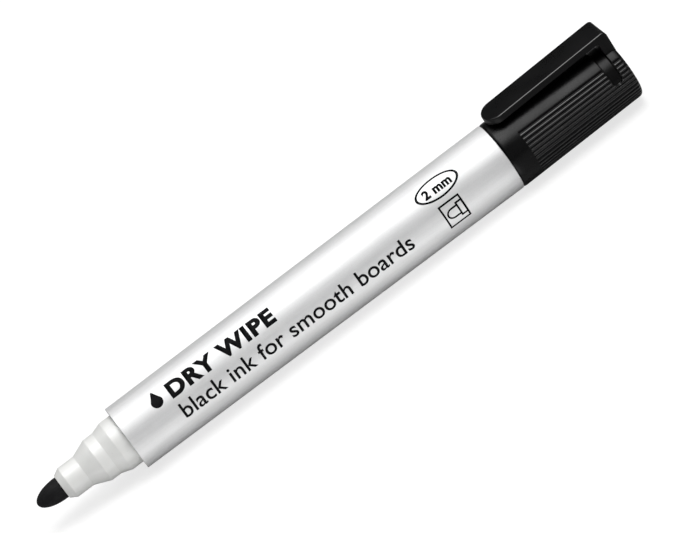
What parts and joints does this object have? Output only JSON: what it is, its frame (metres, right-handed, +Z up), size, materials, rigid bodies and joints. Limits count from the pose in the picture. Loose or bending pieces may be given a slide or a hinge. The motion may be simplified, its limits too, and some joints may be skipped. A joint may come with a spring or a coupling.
{
  "type": "whiteboard marker",
  "caption": "Bullet-tip whiteboard marker with a stepped front section, a round barrel and a ribbed clip cap posted on its rear end.",
  "frame": {"origin": "on the surface that the marker lies on, under the middle of its length and width", "axes": "+X along the marker, from the nib to the cap's closed end; +Z up, through the clip"},
  "size_m": [0.1518, 0.0158, 0.0192],
  "materials": {
    "barrel_silver": "pearl silver moulded plastic, satin",
    "section_natural": "natural polypropylene, slightly translucent, satin",
    "nib_felt": "black-inked bonded felt",
    "reservoir_fibre": "black-inked fibre bundle",
    "reservoir_film": "thin clear film",
    "plug_black": "black moulded plastic, satin",
    "cap_black": "black moulded plastic, fine satin texture",
    "seal_natural": "natural polyethylene"
  },
  "bodies": {
    "barrel": {"barrel_tube": "barrel_silver", "front_section": "section_natural", "nib": "nib_felt", "filler_core": "reservoir_fibre", "filler_film": "reservoir_film", "end_plug": "plug_black"},
    "inner_seal": {"cap_inner_seal": "seal_natural"},
    "cap": {"cap_shell": "cap_black"},
    "clip": {"cap_clip": "cap_black"}
  },
  "joints": [
    {"name": "cap_slide", "type": "slide", "parent": "barrel", "child": "inner_seal", "axis": [1, 0, 0], "range_m": [0, 0.033]},
    {"name": "cap_turn", "type": "hinge", "parent": "inner_seal", "child": "cap", "pos_m": [0.06, 0, 0.00791], "axis": [1, 0, 0], "continuous": true},
    {"name": "clip_flex", "type": "hinge", "parent": "cap", "child": "clip", "pos_m": [0.0759, 0, 0.01766], "axis": [0, 1, 0], "range_deg": [0, 6], "stiffness_Nm_per_rad": 0.4}
  ]
}
